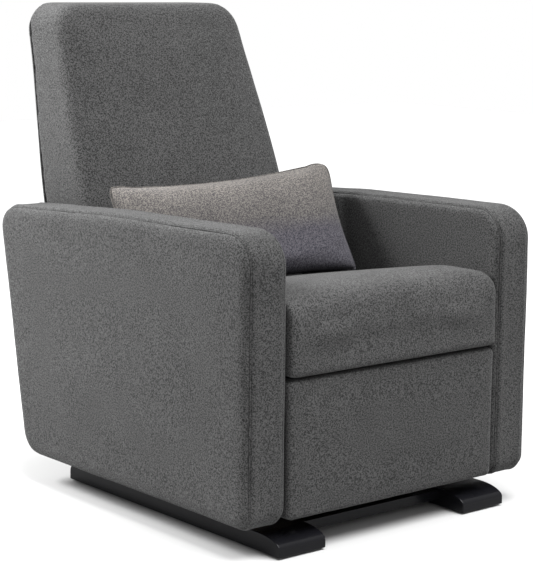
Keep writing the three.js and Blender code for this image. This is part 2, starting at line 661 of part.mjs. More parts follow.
addBase();
addGlide();
addSeatFrame();
addArms();
addSeatCushion();
addBackrest();
addReclineHinge();
addRearPanel();
addFootrestMounts();
addFootrestLinks();
addFootrestPanel();
addFootrestBrackets();
addPillow();

export default chair;
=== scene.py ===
"""An upholstered glider recliner for a nursery: its looks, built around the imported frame.

Metres. +Z is up, the chair faces -Y, and +X is the right-hand side seen from the front.
"""
import math

import bmesh
import bpy
import numpy as np
from mathutils import Matrix, Vector, noise
from mathutils.bvhtree import BVHTree


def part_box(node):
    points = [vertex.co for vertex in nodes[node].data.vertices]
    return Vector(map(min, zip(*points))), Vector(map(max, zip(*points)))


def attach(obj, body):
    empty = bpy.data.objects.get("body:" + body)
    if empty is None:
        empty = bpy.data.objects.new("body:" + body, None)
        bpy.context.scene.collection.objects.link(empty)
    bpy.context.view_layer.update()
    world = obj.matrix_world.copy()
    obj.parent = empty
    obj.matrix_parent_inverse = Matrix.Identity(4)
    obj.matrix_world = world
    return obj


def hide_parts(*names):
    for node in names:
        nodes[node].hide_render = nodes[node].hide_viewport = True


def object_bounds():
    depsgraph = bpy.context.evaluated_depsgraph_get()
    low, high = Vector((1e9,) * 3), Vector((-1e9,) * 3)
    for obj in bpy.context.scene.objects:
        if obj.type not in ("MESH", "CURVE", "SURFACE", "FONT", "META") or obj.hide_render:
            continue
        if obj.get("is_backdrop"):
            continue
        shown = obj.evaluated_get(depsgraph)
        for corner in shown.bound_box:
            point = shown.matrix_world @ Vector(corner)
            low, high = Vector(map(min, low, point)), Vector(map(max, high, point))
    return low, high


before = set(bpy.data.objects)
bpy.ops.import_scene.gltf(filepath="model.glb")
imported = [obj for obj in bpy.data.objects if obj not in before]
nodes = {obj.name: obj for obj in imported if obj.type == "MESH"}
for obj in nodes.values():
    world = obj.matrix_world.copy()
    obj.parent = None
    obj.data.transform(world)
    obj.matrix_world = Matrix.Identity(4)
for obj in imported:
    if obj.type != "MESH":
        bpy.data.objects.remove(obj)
cad_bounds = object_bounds()
SIDES = {"left": -1, "right": 1}
QUARTER_TURN = math.pi / 2

# ---- Camera ----
CAMERA_PLACE = Vector((-2.515, -3.112, 1.112))
CAMERA_TARGET = Vector((-0.019, -0.100, 0.500))
CAMERA_ROLL = math.radians(0.6)
LENS_MM = 115.9
LENS_SHIFT = (-0.003, -0.035)
SENSOR_MM = 36
FARTHEST_SEEN = 50


def add_camera():
    data = bpy.data.cameras.new("camera")
    camera = bpy.data.objects.new("camera", data)
    bpy.context.scene.collection.objects.link(camera)
    data.sensor_width = SENSOR_MM
    data.lens = LENS_MM
    data.shift_x, data.shift_y = LENS_SHIFT
    data.clip_end = FARTHEST_SEEN
    turn = (CAMERA_TARGET - CAMERA_PLACE).to_track_quat("-Z", "Y").to_matrix()
    roll = Matrix.Rotation(CAMERA_ROLL, 3, "Z")
    camera.matrix_world = Matrix.Translation(CAMERA_PLACE) @ (turn @ roll).to_4x4()
    bpy.context.scene.camera = camera


# ---- Materials ----
class Paint:
    """A procedural material, built node by node on a Principled shader."""

    def __init__(self, name, **constants):
        self.material = bpy.data.materials.new(name)
        self.material.use_nodes = True
        self.tree = self.material.node_tree
        self.shader = self.tree.nodes["Principled BSDF"]
        for socket, value in constants.items():
            self.shader.inputs[socket.replace("_", " ")].default_value = value
        self.place = self.add("TexCoord").outputs["Object"]

    def add(self, kind, settings=None, **inputs):
        """A new node; an input is given by its name, or by i and its number."""
        node = self.tree.nodes.new("ShaderNode" + kind)
        for name, value in (settings or {}).items():
            setattr(node, name, value)
        for name, value in inputs.items():
            key = int(name[1:]) if name[0] == "i" and name[1:].isdigit() else name.replace("_", " ")
            self.feed(node.inputs[key], value)
        return node

    def feed(self, socket, value):
        if isinstance(value, bpy.types.NodeSocket):
            self.tree.links.new(value, socket)
        else:
            socket.default_value = value

    def math(self, operation, first, second=0.0, third=0.0):
        return self.add("Math", {"operation": operation}, i0=first, i1=second, i2=third).outputs[0]

    def vector(self, operation, first, second=(0, 0, 0)):
        node = self.add("VectorMath", {"operation": operation}, i0=first, i1=second)
        return node.outputs["Value" if operation == "DOT_PRODUCT" else "Vector"]

    def scaled(self, stretch):
        return self.vector("MULTIPLY", self.place, stretch)

    def noise(self, scale, detail=2.0, roughness=0.5, vector=None):
        place = self.place if vector is None else vector
        made = self.add("TexNoise", None, Vector=place, Scale=scale, Detail=detail, Roughness=roughness)
        return made.outputs["Fac"]

    def ramp(self, factor, stops):
        node = self.add("ValToRGB", None, Fac=factor)
        ramp = node.color_ramp
        for at, colour in stops[1:-1]:
            ramp.elements.new(at)
        for element, (at, colour) in zip(ramp.elements, stops):
            element.position = at
            element.color = (*colour, 1)
        return node.outputs["Color"]

    def mix(self, factor, first, second, blend="MIX"):
        node = self.add("Mix", {"data_type": "RGBA", "blend_type": blend})
        self.feed(node.inputs["Factor"], factor)
        for socket, value in zip([s for s in node.inputs if s.type == "RGBA"], (first, second)):
            self.feed(socket, value)
        return next(s for s in node.outputs if s.type == "RGBA")

    def bump(self, height, distance, strength):
        node = self.add("Bump", None, Height=height, Distance=distance, Strength=strength)
        self.feed(self.shader.inputs["Normal"], node.outputs["Normal"])

    def colour(self, value):
        self.feed(self.shader.inputs["Base Color"], value)

    def roughness(self, pattern, least, most):
        spread = self.add("MapRange", None, Value=pattern, To_Min=least, To_Max=most)
        self.feed(self.shader.inputs["Roughness"], spread.outputs[0])


def grey(value):
    return (value, value, value)


def weave_height(paint, pitch, ragged):
    """Plain-weave nubs on every face of a piece: crossed sines, blended by the way the surface looks."""
    angle = paint.scaled((math.pi / pitch,) * 3)
    wander = paint.add("TexNoise", None, Vector=paint.place, Scale=0.5 / pitch, Detail=2.0).outputs["Color"]
    wander = paint.vector("MULTIPLY", wander, (ragged,) * 3)
    wave = paint.vector("SINE", paint.vector("ADD", angle, wander))
    parts = paint.add("SeparateXYZ", None, Vector=wave).outputs
    faces = paint.add("CombineXYZ")
    for index in range(3):
        product = paint.math("MULTIPLY", parts[(index + 1) % 3], parts[(index + 2) % 3])
        paint.feed(faces.inputs[index], product)
    normal = paint.add("TexCoord").outputs["Normal"]
    weight = paint.vector("MULTIPLY", normal, normal)
    return paint.vector("DOT_PRODUCT", faces.outputs[0], weight)


def woven_cloth(name, dark, light, shade=None):
    """Felted wool-blend upholstery: a fine weave of mixed dark and light yarns."""
    paint = Paint(name, Roughness=0.92, Specular_IOR_Level=0.12, Sheen_Weight=0.05, Sheen_Roughness=0.45)
    weave = weave_height(paint, 0.0016, 5.0)
    yarn = paint.noise(330, 3.0, 0.85)
    fleck = paint.noise(900, 2.0, 0.6)
    blend = paint.math("ADD", paint.math("MULTIPLY", yarn, 0.85), paint.math("MULTIPLY", fleck, 0.15))
    colour = paint.ramp(blend, [(0.45, dark), (0.55, light)])
    cloud = paint.noise(9, 2.0, 0.5)
    tone = paint.ramp(cloud, [(0.3, grey(0.94)), (0.7, grey(1.06))])
    colour = paint.mix(1.0, colour, tone, "MULTIPLY")
    # shade, where given, multiplies painted light and shade into the cloth's colour; the pillow's cloth gets
    # it.
    if shade:
        colour = paint.mix(1.0, colour, shade(paint), "MULTIPLY")
    paint.colour(colour)
    height = paint.math("ADD", paint.math("MULTIPLY", weave, 0.5), paint.math("MULTIPLY", fleck, 0.8))
    height = paint.math("ADD", height, paint.math("MULTIPLY", paint.noise(2400, 1.0), 0.3))
    paint.bump(height, 0.0005, 0.8)
    return paint.material


def lacquered_wood():
    """Almost black, with a thin clear coat that is smeared a little."""
    constants = {"Specular_IOR_Level": 0.10, "Coat_Weight": 0.06, "Coat_Roughness": 0.08}
    paint = Paint("black_lacquer", Base_Color=(0.004, 0.004, 0.005, 1), **constants)
    paint.roughness(paint.noise(14, 3.0, 0.6), 0.14, 0.30)
    grain = paint.noise(60, 3.0, 0.6, paint.scaled((1.0, 0.08, 1.0)))
    paint.bump(grain, 0.00012, 0.5)
    return paint.material


def painted_steel():
    paint = Paint("black_steel", Metallic=0.3)
    paint.colour(paint.ramp(paint.noise(40, 3.0), [(0.35, grey(0.012)), (0.7, grey(0.022))]))
    paint.roughness(paint.noise(120, 2.0), 0.38, 0.55)
    paint.bump(paint.noise(700, 2.0), 0.0002, 0.6)
    return paint.material


def plated_steel(name, dark, light, rough):
    paint = Paint(name, Metallic=1.0)
    spangle = paint.add("TexVoronoi", None, Vector=paint.place, Scale=160.0)
    patch = paint.math("ADD", paint.math("MULTIPLY", spangle.outputs["Distance"], 0.5), paint.noise(35, 3.0))
    paint.colour(paint.ramp(patch, [(0.4, dark), (0.9, light)]))
    paint.roughness(paint.noise(90, 3.0), rough, rough + 0.2)
    paint.bump(paint.noise(1500, 2.0), 0.00006, 0.5)
    return paint.material


def sawn_wood(name, dark, light, along, plies=0.0):
    """Timber with its grain along one axis; plywood adds its layers through the board."""
    paint = Paint(name, Roughness=0.62, Specular_IOR_Level=0.35)
    stretch = tuple(0.06 if axis == along else 1.0 for axis in range(3))
    rings = paint.noise(55, 5.0, 0.65, paint.scaled(stretch))
    pores = paint.noise(700, 2.0, 0.5, paint.scaled(stretch))
    blend = paint.math("ADD", paint.math("MULTIPLY", rings, 0.8), paint.math("MULTIPLY", pores, 0.2))
    colour = paint.ramp(blend, [(0.35, dark), (0.65, light)])
    if plies:
        depth = paint.add("SeparateXYZ", None, Vector=paint.place).outputs[1]
        layer = paint.math("SINE", paint.math("MULTIPLY", depth, math.tau / plies))
        band = paint.ramp(paint.math("MULTIPLY_ADD", layer, 0.5, 0.5), [(0.3, grey(0.75)), (0.7, grey(1.0))])
        colour = paint.mix(1.0, colour, band, "MULTIPLY")
    paint.colour(colour)
    paint.bump(blend, 0.0004, 0.5)
    return paint.material


def rubber():
    paint = Paint("floor_rubber", Roughness=0.85, Specular_IOR_Level=0.3)
    paint.colour(paint.ramp(paint.noise(300, 3.0), [(0.35, grey(0.012)), (0.75, grey(0.03))]))
    paint.bump(paint.noise(1200, 2.0), 0.0003, 0.7)
    return paint.material


# ---- Outlines ----
LEAST_RADIUS = 0.006


def corner_geometry(corners, index):
    """A corner's point, the unit directions to its neighbours, the angle between them and both distances."""
    here = Vector(corners[index][:2])
    back = Vector(corners[index - 1][:2]) - here
    ahead = Vector(corners[(index + 1) % len(corners)][:2]) - here
    angle = back.angle(ahead)
    return here, back.normalized(), ahead.normalized(), angle, back.length, ahead.length


def inset_corners(corners, distance):
    """An anticlockwise outline of (u, v, radius) corners, set in by a distance."""
    moved = []
    for index, (_, _, radius) in enumerate(corners):
        here, back, ahead, angle, _, _ = corner_geometry(corners, index)
        at = here + (back + ahead) * (distance / math.sin(angle))
        moved.append((at.x, at.y, max(radius - distance, LEAST_RADIUS)))
    return moved


def deepest_inset(corners):
    """How far the outline can be set in before one of its edges is gone."""
    depths = []
    for index in range(len(corners)):
        _, _, _, angle, _, ahead = corner_geometry(corners, index)
        _, _, _, following, _, _ = corner_geometry(corners, (index + 1) % len(corners))
        depths.append(ahead / (1 / math.tan(angle / 2) + 1 / math.tan(following / 2)))
    return min(depths)


def edge_steps(corners, spacing):
    """How many steps each edge is cut into."""
    return [max(2, round(corner_geometry(corners, i)[5] / spacing)) for i in range(len(corners))]


def round_outline(corners, steps, arc_steps):
    """Points along an outline whose corners are arcs: arc_steps to a corner, steps[i] to the edge after it.

    A radius that is too big for its edges is cut down to what they can take."""
    arcs = []
    for index, (_, _, radius) in enumerate(corners):
        here, back, ahead, angle, before, after = corner_geometry(corners, index)
        radius = min(radius, 0.49 * min(before, after) * math.tan(angle / 2))
        centre = here + (back + ahead).normalized() * (radius / math.sin(angle / 2))
        start = here + back * (radius / math.tan(angle / 2)) - centre
        turns = math.atan2(start.y, start.x) + np.linspace(0, math.pi - angle, arc_steps + 1)
        arcs.append(np.stack([centre.x + radius * np.cos(turns), centre.y + radius * np.sin(turns)], 1))
    points = []
    for index, arc in enumerate(arcs):
        following = arcs[(index + 1) % len(arcs)]
        along = np.linspace(0, 1, steps[index] + 1)[1:-1, None]
        points += [arc, arc[-1] + along * (following[0] - arc[-1])]
    return np.concatenate(points)


# ---- Meshes ----
MERGE_DISTANCE = 0.00005


def mesh_object(name, points, faces, material):
    mesh = bpy.data.meshes.new(name)
    mesh.from_pydata([tuple(map(float, p)) for p in points], [], faces)
    made = bpy.data.objects.new(name, mesh)
    bpy.context.scene.collection.objects.link(made)
    mesh.materials.append(material)
    tidy_mesh(made)
    return made


def tidy_mesh(made):
    """Merges doubled points, turns every face outwards and shades the surface smooth."""
    work = bmesh.new()
    work.from_mesh(made.data)
    bmesh.ops.remove_doubles(work, verts=work.verts, dist=MERGE_DISTANCE)
    bmesh.ops.recalc_face_normals(work, faces=work.faces)
    for face in work.faces:
        face.smooth = True
    work.to_mesh(made.data)
    work.free()


def ring_faces(rings, count):
    """Quads between rings of points that follow each other, each ring closed on itself."""
    faces = []
    for ring in range(rings - 1):
        for at in range(count):
            following = (at + 1) % count
            low = ring * count
            faces.append((low + at, low + following, low + count + following, low + count + at))
    return faces


# ---- Padded slabs and cords ----
# A seam lies in a groove between two swells, most of the way along a slab's front or back rounding.
SEAM_SHARE = 0.68
SEAM_GROOVE = 0.0030
SEAM_GROOVE_WIDTH = 0.0026
SEAM_PUFF = 0.0012
SEAM_PUFF_WIDTH = 0.006
SEAM_PUFF_AWAY = 0.011
PROFILE_SPACING = 0.005
PROFILE_LEAST_SPACING = 0.0005
FACE_REACH = 0.985
ARC_STEPS = 14
SEAM_ARC_STEPS = 16
SEAM_SPACING = 0.005


def edge_point(s, depth, front_radius, back_radius):
    """The (inset, depth) point at a length s along a slab's edge, and the way out from there."""
    front = front_radius * QUARTER_TURN
    flat = depth - front_radius - back_radius
    if s <= front:
        a = s / front_radius
        at = (front_radius * (1 - math.sin(a)), front_radius * (1 - math.cos(a)))
        return at, (-math.sin(a), -math.cos(a))
    if s <= front + flat:
        return (0.0, front_radius + s - front), (-1.0, 0.0)
    a = (s - front - flat) / back_radius
    at = (back_radius * (1 - math.cos(a)), depth - back_radius + back_radius * math.sin(a))
    return at, (-math.cos(a), math.sin(a))


def edge_lengths(whole, lines):
    """Lengths along a slab's edge to take points at: even, with many more beside each seam."""
    even = np.linspace(0, whole, max(8, round(whole / PROFILE_SPACING)))
    swells = np.array([0.011, 0.0145, 0.018])
    near = np.concatenate([np.linspace(-0.007, 0.007, 21), -swells[::-1], swells])
    wanted = np.sort(np.concatenate([even, *[line + near for line in lines]]))
    kept = []
    for s in wanted[(wanted >= 0) & (wanted <= whole)]:
        if not kept or s - kept[-1] > PROFILE_LEAST_SPACING:
            kept.append(s)
    return kept


def seam_lift(away):
    """How far the cover stands out at a distance from its seam: sunk at the seam, swollen beside it."""
    groove = SEAM_GROOVE * math.exp(-((away / SEAM_GROOVE_WIDTH) ** 2))
    puff = SEAM_PUFF * math.exp(-(((abs(away) - SEAM_PUFF_AWAY) / SEAM_PUFF_WIDTH) ** 2))
    return puff - groove


def edge_profile(depth, front_radius, back_radius, seams=()):
    """(inset, depth) points round a slab's edge, front to back, and where each seam lies."""
    front, back = front_radius * QUARTER_TURN, back_radius * QUARTER_TURN
    flat = depth - front_radius - back_radius
    whole = front + flat + back
    places = {"front": front * SEAM_SHARE, "back": whole - back * SEAM_SHARE}
    lines = [places[seam] for seam in seams]
    profile = []
    for s in edge_lengths(whole, lines):
        at, out = edge_point(s, depth, front_radius, back_radius)
        lift = sum(seam_lift(s - line) for line in lines)
        profile.append((at[0] + out[0] * lift, at[1] + out[1] * lift))
    return profile, [edge_point(line, depth, front_radius, back_radius) for line in lines]


def slab(name, corners, profile, crowns, place, material, spacing=0.008, rings=16):
    """A closed padded slab. Its outline is drawn in (u, v) and its profile in (inset, depth);
    crowns are the rise of its front and back faces, and place(u, v, depth) puts points in the chair."""
    steps = edge_steps(corners, spacing)
    reach = deepest_inset(corners) * FACE_REACH

    def face_levels(start, depth, rise):
        share = np.linspace(0, 1, rings + 1)[1:]
        inset = start + (reach - start) * share
        return list(zip(inset, depth + rise * (1 - (1 - share) ** 2)))

    front = face_levels(profile[0][0], profile[0][1], -crowns[0])
    back = face_levels(profile[-1][0], profile[-1][1], crowns[1])
    levels = front[::-1] + profile + back
    points = []
    for inset, depth in levels:
        ring = round_outline(inset_corners(corners, inset), steps, ARC_STEPS)
        count = len(ring)
        points.append(place(ring[:, 0], ring[:, 1], np.full(count, depth)))
    faces = ring_faces(len(levels), count)
    faces.append(tuple(range(count)))
    faces.append(tuple(range((len(levels) - 1) * count, len(levels) * count)))
    return mesh_object(name, np.concatenate(points), faces, material)


def seam_path(corners, seam, sink, place):
    """The line of a slab's seam as points in the chair, sunk a little into its groove."""
    (inset, depth), (out_inset, out_depth) = seam
    inset, depth = inset - out_inset * sink, depth - out_depth * sink
    steps = edge_steps(corners, SEAM_SPACING)
    ring = round_outline(inset_corners(corners, inset), steps, SEAM_ARC_STEPS)
    return place(ring[:, 0], ring[:, 1], np.full(len(ring), depth))


def welt(name, path, radius, material):
    """A closed cord along a closed path, its section carried along without twisting."""
    sides = 8
    askew = (0.3, 0.2, 0.93)
    ahead = np.roll(path, -1, 0) - np.roll(path, 1, 0)
    ahead /= np.linalg.norm(ahead, axis=1, keepdims=True)
    first = np.cross(ahead[0], np.cross(askew, ahead[0]))
    up = [first / np.linalg.norm(first)]
    for direction in ahead[1:]:
        carried = up[-1] - direction * np.dot(up[-1], direction)
        up.append(carried / np.linalg.norm(carried))
    up = np.array(up)
    across = np.cross(ahead, up)
    points = []
    for side in range(sides):
        turn = math.tau * side / sides
        points.append(path + radius * (math.cos(turn) * up + math.sin(turn) * across))
    faces = ring_faces(sides, len(path))
    low = (sides - 1) * len(path)
    for at in range(len(path)):
        following = (at + 1) % len(path)
        faces.append((low + at, low + following, following, at))
    return mesh_object(name, np.concatenate(points), faces, material)


# ---- Soft shapes ----
def coordinates(made):
    points = np.zeros(len(made.data.vertices) * 3)
    made.data.vertices.foreach_get("co", points)
    return points.reshape(-1, 3)


def set_coordinates(made, points):
    made.data.vertices.foreach_set("co", np.asarray(points, float).ravel())
    made.data.update()


def apply_modifiers(made):
    """Bakes an object's modifiers into its mesh."""
    depsgraph = bpy.context.evaluated_depsgraph_get()
    baked = bpy.data.meshes.new_from_object(made.evaluated_get(depsgraph))
    made.modifiers.clear()
    made.data = baked
    for face in baked.polygons:
        face.use_smooth = True


def wobble(made, height, length, seed):
    """Shifts the surface along its normals by a smooth unevenness, as stuffing under cloth has."""
    points = coordinates(made)
    normals = np.zeros(len(points) * 3)
    made.data.vertices.foreach_get("normal", normals)
    offset = Vector((seed * 3.7, seed * 1.9, seed * 5.3))
    lift = np.array([noise.noise(Vector(p) / length + offset) for p in points])
    set_coordinates(made, points + normals.reshape(-1, 3) * (height * lift)[:, None])


def evened(made, values, rounds):
    """Values at a mesh's points, each averaged with its neighbours' over and over."""
    edges = np.zeros(len(made.data.edges) * 2, int)
    made.data.edges.foreach_get("vertices", edges)
    edges = edges.reshape(-1, 2)
    count = np.bincount(edges.ravel(), minlength=len(values))[:, None]
    for _ in range(rounds):
        total = np.zeros_like(values)
        for axis in range(values.shape[1]):
            total[:, axis] += np.bincount(edges[:, 0], values[edges[:, 1], axis], len(values))
            total[:, axis] += np.bincount(edges[:, 1], values[edges[:, 0], axis], len(values))
        values = 0.5 * values + 0.5 * total / np.maximum(count, 1)
    return values


def inflate(made, quality, mass, stiffness, bending, pressure, frames):
    """Lets a closed piece of cloth bulge under pressure, and bakes the shape it takes."""
    cloth = made.modifiers.new("cloth", "CLOTH")
    settings = cloth.settings
    settings.quality = quality
    settings.mass = mass
    settings.tension_stiffness = stiffness
    settings.compression_stiffness = stiffness
    settings.shear_stiffness = stiffness / 3
    settings.bending_stiffness = bending
    settings.use_pressure = True
    settings.uniform_pressure_force = pressure
    settings.effector_weights.gravity = 0
    cloth.collision_settings.use_collision = False
    cloth.point_cache.frame_start = 1
    cloth.point_cache.frame_end = frames
    scene = bpy.context.scene
    for step in range(1, frames + 1):
        scene.frame_set(step)
    apply_modifiers(made)
    scene.frame_set(1)


def swell(made, voxel, cap, free, hold):
    """Remeshes a cushion evenly, then lets cloth under pressure swell it by at most cap.

    free(points) says how far each point follows it, from 0 to 1; hold(points) keeps them in bounds."""
    remesh = made.modifiers.new("remesh", "REMESH")
    remesh.mode = "VOXEL"
    remesh.voxel_size = voxel
    apply_modifiers(made)
    start = coordinates(made)
    inflate(made, quality=5, mass=0.3, stiffness=15.0, bending=0.8, pressure=4.0, frames=20)
    shift = evened(made, coordinates(made) - start, 12)
    length = np.maximum(np.linalg.norm(shift, axis=1, keepdims=True), 1e-9)
    moved = start + shift * np.minimum(1.0, cap / length) * free(start)[:, None]
    set_coordinates(made, hold(moved))


def refine(made, rounds):
    """A few rounds of smoothing and one subdivision."""
    relax = made.modifiers.new("relax", "SMOOTH")
    relax.factor = 0.5
    relax.iterations = rounds
    finer = made.modifiers.new("finer", "SUBSURF")
    finer.levels = 1
    finer.render_levels = 1
    apply_modifiers(made)


# ---- Arms ----
# Seen from the side, an arm's corners stand off the CAD solid's box by these amounts, on these radii.
# The toe is its lower front corner, the heel its lower rear one.
ARM_OUTER_ROUND = 0.028
ARM_INNER_ROUND = 0.022
ARM_CROWNS = (0.003, 0.0)
ARM_TOE_RADIUS = 0.036
ARM_HEEL_UNDERCUT = 0.089
ARM_HEEL_RADIUS = 0.060
ARM_REAR_REACH = 0.012
ARM_REAR_DROP = 0.032
ARM_REAR_RADIUS = 0.050
ARM_CREST_Y = 0.0
ARM_CREST_DROP = 0.010
ARM_CREST_RADIUS = 1.6
ARM_FRONT_DROP = 0.001
ARM_FRONT_RADIUS = 0.070
WELT_RADIUS = 0.0017
WELT_SINK = 0.0016


def add_arm(side, sign, cloth):
    """An arm's cover, with a welt on each side of the boxing strip that runs over it."""
    node = f"arm_{side}"
    low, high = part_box(node)
    outer, inner = (high.x, low.x) if sign > 0 else (low.x, high.x)
    thickness = abs(outer - inner)
    corners = [
        (low.y, low.z, ARM_TOE_RADIUS),
        (high.y - ARM_HEEL_UNDERCUT, low.z, ARM_HEEL_RADIUS),
        (high.y + ARM_REAR_REACH, high.z - ARM_REAR_DROP, ARM_REAR_RADIUS),
        (ARM_CREST_Y, high.z - ARM_CREST_DROP, ARM_CREST_RADIUS),
        (low.y, high.z - ARM_FRONT_DROP, ARM_FRONT_RADIUS),
    ]
    profile, seams = edge_profile(thickness, ARM_OUTER_ROUND, ARM_INNER_ROUND, ("front", "back"))

    def place(u, v, depth):
        return np.stack([outer - sign * depth, u, v], 1)

    arm = slab(f"{node}_cover", corners, profile, ARM_CROWNS, place, cloth, spacing=0.007)
    wobble(arm, 0.0012, 0.16, 1 + sign)
    wobble(arm, 0.0004, 0.045, 5 + sign)
    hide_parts(node)
    cover = [arm]
    for which, seam in zip(("outer", "inner"), seams):
        path = seam_path(corners, seam, WELT_SINK, place)
        cover.append(welt(f"{node}_{which}_welt", path, WELT_RADIUS, cloth))
    for piece in cover:
        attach(piece, "seat")


# ---- Seat cushion ----
# The top is highest at the crown, falls behind it and rolls over in front of it.
# The lip hangs down in front, over the top of the footrest.
SEAT_CROWN_Y = -0.395
SEAT_SETTLE = 0.004
SEAT_SIDE_DROP = 0.009
SEAT_SIDE_CLEARANCE = 0.0015
SEAT_FALL = 0.182
SEAT_FALL_START = 0.025
SEAT_ROLL = 0.048
SEAT_ROLL_SHARE = 0.92
SEAT_LIP = 0.007
SEAT_LIP_DEPTH = 0.045
SEAT_FRONT_RADIUS = 0.012
SEAT_REAR_RADIUS = 0.020
SEAT_TOP_ROUND = 0.011
SEAT_BOTTOM_ROUND = 0.003
CUSHION_SPACING = 0.012
CUSHION_RINGS = 40


def seat_top(x, y):
    """Height of the seat's top face: crowned across, falling towards the back, rolled over at the front."""
    low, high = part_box("seat_cushion")
    across = np.abs(x) / high.x
    behind = np.clip(y - SEAT_CROWN_Y, 0, None)
    fall = SEAT_FALL * behind**2 / (behind + SEAT_FALL_START)
    turn = np.clip((low.y + SEAT_ROLL - y) / SEAT_ROLL, 0, 1)
    roll = SEAT_ROLL * SEAT_ROLL_SHARE * (1 - np.sqrt(1 - turn**2))
    return high.z - SEAT_SETTLE - fall - roll - SEAT_SIDE_DROP * across**2


def add_seat(cloth):
    """The seat's cover: flat below apart from its front lip, crowned on top."""
    low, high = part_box("seat_cushion")
    half = high.x - SEAT_SIDE_CLEARANCE
    corners = [
        (-half, low.y, SEAT_FRONT_RADIUS),
        (half, low.y, SEAT_FRONT_RADIUS),
        (half, high.y, SEAT_REAR_RADIUS),
        (-half, high.y, SEAT_REAR_RADIUS),
    ]
    height = high.z - low.z
    profile, _ = edge_profile(height, SEAT_TOP_ROUND, SEAT_BOTTOM_ROUND)

    def bottom_z(y):
        return low.z - SEAT_LIP * np.clip((low.y + SEAT_LIP_DEPTH - y) / SEAT_LIP_DEPTH, 0, 1)

    def place(u, v, depth):
        share = depth / height
        return np.stack([u, v, seat_top(u, v) * (1 - share) + bottom_z(v) * share], 1)

    name = "seat_cushion_cover"
    seat = slab(name, corners, profile, (0.0, 0.0), place, cloth, CUSHION_SPACING, CUSHION_RINGS)

    def free(points):
        """Free on top, and held along the bottom and beside the arms."""
        above = np.clip((points[:, 2] - low.z - 0.010) / 0.04, 0, 1)
        return above * np.clip((high.x - np.abs(points[:, 0])) / 0.05, 0.15, 1)

    def hold(points):
        """Between the arms and off the back."""
        points[:, 0] = np.clip(points[:, 0], -high.x, high.x)
        points[:, 1] = np.clip(points[:, 1], low.y - 0.003, None)
        points[:, 1] = np.minimum(points[:, 1], back_front_y(points[:, 2]) - 0.004)
        return points

    swell(seat, 0.007, 0.006, free, hold)
    refine(seat, 2)
    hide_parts("seat_cushion")
    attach(seat, "seat")
    return seat


# ---- Backrest ----
# The front and rear slopes are the CAD solid's. The shoulder is where the sides start to draw in.
BACK_FRONT_SLOPE = 0.3865
BACK_REAR_SLOPE = 0.2486
BACK_FULLNESS = 0.006
BACK_TOP_NARROWING = 0.032
BACK_FOOT_RADIUS = 0.012
BACK_SHOULDER_RADIUS = 2.0
BACK_SHOULDER_Z = 0.700
BACK_SPREAD = 0.005
BACK_TOP_DROP = 0.002
BACK_TOP_RADIUS = 0.061
BACK_THICKNESS = 0.160
BACK_FRONT_ROUND = 0.028
BACK_REAR_ROUND = 0.004
BACK_CROWN = 0.004
BACK_SIDE_TAPER = 0.022
BACK_REAR_CLEARANCE = 0.003
BACK_FLARE = 0.007
BACK_FLARE_START_Z = 0.88
BACK_FLARE_HEIGHT = 0.12
OUTSIDE_BACK_DEPTH = 0.010
OUTSIDE_BACK_THICKNESS = 0.012
OUTSIDE_BACK_SHOULDER_Z = 0.634
OUTSIDE_BACK_INSET = 0.003
OUTSIDE_BACK_RISE = 0.001
OUTSIDE_BACK_OVERHANG = 0.007
OUTSIDE_BACK_TOP_RADIUS = 0.074


def back_rear_y(z):
    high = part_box("back_cushion")[1]
    return high.y + BACK_REAR_SLOPE * (z - high.z)


def back_front_y(z):
    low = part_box("back_cushion")[0]
    return low.y + BACK_FRONT_SLOPE * (z - low.z)


def back_flare(z):
    """How far the top of the back curls rearwards."""
    return BACK_FLARE * np.clip((z - BACK_FLARE_START_Z) / BACK_FLARE_HEIGHT, 0, 1) ** 2


def back_outline(bottom, shoulder, top, spread, top_radius):
    """The back's tapered outline in (x, z), wider than the CAD's by a spread on each side."""
    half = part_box("back_cushion")[1].x + spread
    return [
        (-half, bottom, BACK_FOOT_RADIUS),
        (half, bottom, BACK_FOOT_RADIUS),
        (half, shoulder, BACK_SHOULDER_RADIUS),
        (half - BACK_TOP_NARROWING, top, top_radius),
        (BACK_TOP_NARROWING - half, top, top_radius),
        (-half, shoulder, BACK_SHOULDER_RADIUS),
    ]


def add_back(cloth):
    """The back cushion's cover, which closes against the outside back."""
    low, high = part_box("back_cushion")
    corners = back_outline(low.z, BACK_SHOULDER_Z, high.z - BACK_TOP_DROP, BACK_SPREAD, BACK_TOP_RADIUS)
    profile, _ = edge_profile(BACK_THICKNESS, BACK_FRONT_ROUND, BACK_REAR_ROUND)

    def place(u, v, depth):
        share = depth / BACK_THICKNESS
        front = back_front_y(v) - BACK_FULLNESS
        rear = back_rear_y(v) + back_flare(v) - BACK_REAR_CLEARANCE
        return np.stack([u * (1 - BACK_SIDE_TAPER * share), front * (1 - share) + rear * share, v], 1)

    name = "back_cushion_cover"
    back = slab(name, corners, profile, (BACK_CROWN, 0.0), place, cloth, CUSHION_SPACING, CUSHION_RINGS)

    def free(points):
        """Free on the front face, and held along its sides, its top and all that lies behind it."""
        behind = points[:, 1] - back_front_y(points[:, 2])
        inside = np.clip((high.x - 0.01 - np.abs(points[:, 0])) / 0.08, 0, 1)
        return np.clip(1 - behind / 0.07, 0, 1) * inside * np.clip((high.z - points[:, 2]) / 0.10, 0, 1)

    def hold(points):
        """No lower and no higher than the back."""
        points[:, 2] = np.clip(points[:, 2], low.z - 0.003, high.z + 0.004)
        return points

    swell(back, 0.008, 0.008, free, hold)
    refine(back, 2)
    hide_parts("back_cushion")
    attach(back, "backrest")
    return back


